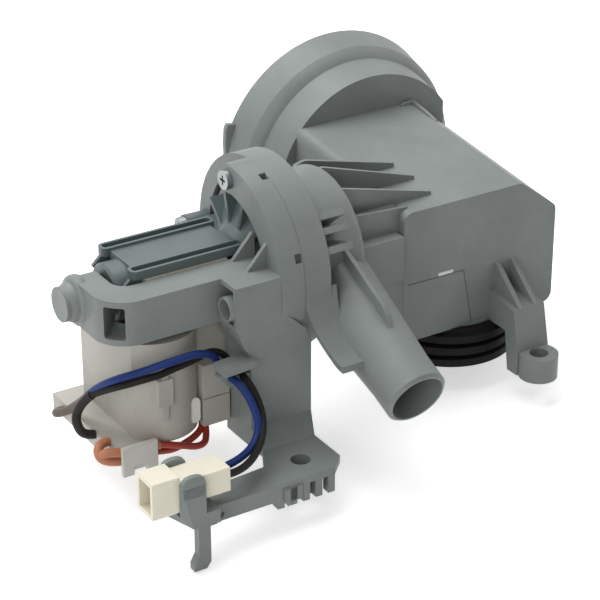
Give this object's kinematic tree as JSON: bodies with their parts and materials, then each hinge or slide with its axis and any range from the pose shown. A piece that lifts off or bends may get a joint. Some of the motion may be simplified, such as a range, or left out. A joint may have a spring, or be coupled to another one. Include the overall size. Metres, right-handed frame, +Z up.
{
  "type": "washer drain pump",
  "caption": "Drain pump of a washing machine: open-frame motor on a bracket, volute with outlet spout, and filter box with dished filter collar, rubber inlet and lead connector.",
  "frame": {"origin": "middle of the foot screw hole, on the plane that the foot and the leg stand on", "axes": "+X along the rotor line from the motor's tail to the pump, +Y from the spout's end to the filter cap, +Z up out of the foot hole"},
  "size_m": [0.2337, 0.1724, 0.115],
  "materials": {
    "grey_moulding": "satin",
    "dark_moulding": "satin",
    "pale_moulding": "matte",
    "cream_moulding": "satin",
    "rubber": "matte",
    "laminations": "stamped",
    "winding": "enamelled",
    "ferrite": "ground",
    "steel": "ground",
    "zinc": "zinc plated",
    "brass": "stamped",
    "blue_sheath": "satin",
    "black_sheath": "satin",
    "red_sheath": "satin",
    "brown_sleeve": "woven",
    "terracotta_sleeve": "matte"
  },
  "bodies": {
    "body": {"motor_bracket": "grey_moulding", "volute_housing": "grey_moulding", "filter_box": "grey_moulding", "filter_collar": "grey_moulding", "inlet_seal": "rubber", "rotor_canister": "dark_moulding", "stator_core": "laminations", "near_coil": "winding", "far_coil": "winding", "coil_case": "pale_moulding", "tail_damper": "rubber", "rear_bearing": "rubber", "front_bearing": "rubber", "cover_seal": "rubber", "shaft_seal": "rubber", "flange_screws": "zinc", "connector_housing": "cream_moulding", "connector_terminals": "brass", "blue_lead": "blue_sheath", "black_lead": "black_sheath", "fuse_clip": "pale_moulding", "winding_peg": "cream_moulding", "black_sleeve": "brown_sleeve", "blue_sleeve": "brown_sleeve", "upper_fuse_sleeve": "terracotta_sleeve", "lower_fuse_sleeve": "terracotta_sleeve", "front_red_lead": "red_sheath", "back_red_lead": "red_sheath"},
    "rotor": {"rotor_shaft": "steel", "rotor_magnet": "ferrite", "drive_dog": "dark_moulding"},
    "impeller": {"impeller": "grey_moulding"},
    "filter_ring": {"filter_seal": "rubber"},
    "filter": {"filter_cap": "grey_moulding", "filter_basket": "grey_moulding"}
  },
  "joints": [
    {"name": "rotor_spin", "type": "hinge", "parent": "body", "child": "rotor", "pos_m": [0, 0.0596, 0.0645], "axis": [1, 0, 0], "continuous": true},
    {"name": "impeller_play", "type": "hinge", "parent": "rotor", "child": "impeller", "pos_m": [0.035, 0.0596, 0.0645], "axis": [1, 0, 0], "range_deg": [-130, 130]},
    {"name": "filter_withdraw", "type": "slide", "parent": "body", "child": "filter_ring", "axis": [0, 1, 0], "range_m": [0, 0.1]},
    {"name": "filter_turn", "type": "hinge", "parent": "filter_ring", "child": "filter", "pos_m": [0.11075, 0.131, 0.0505], "axis": [0, 1, 0], "range_deg": [0, 90]}
  ]
}
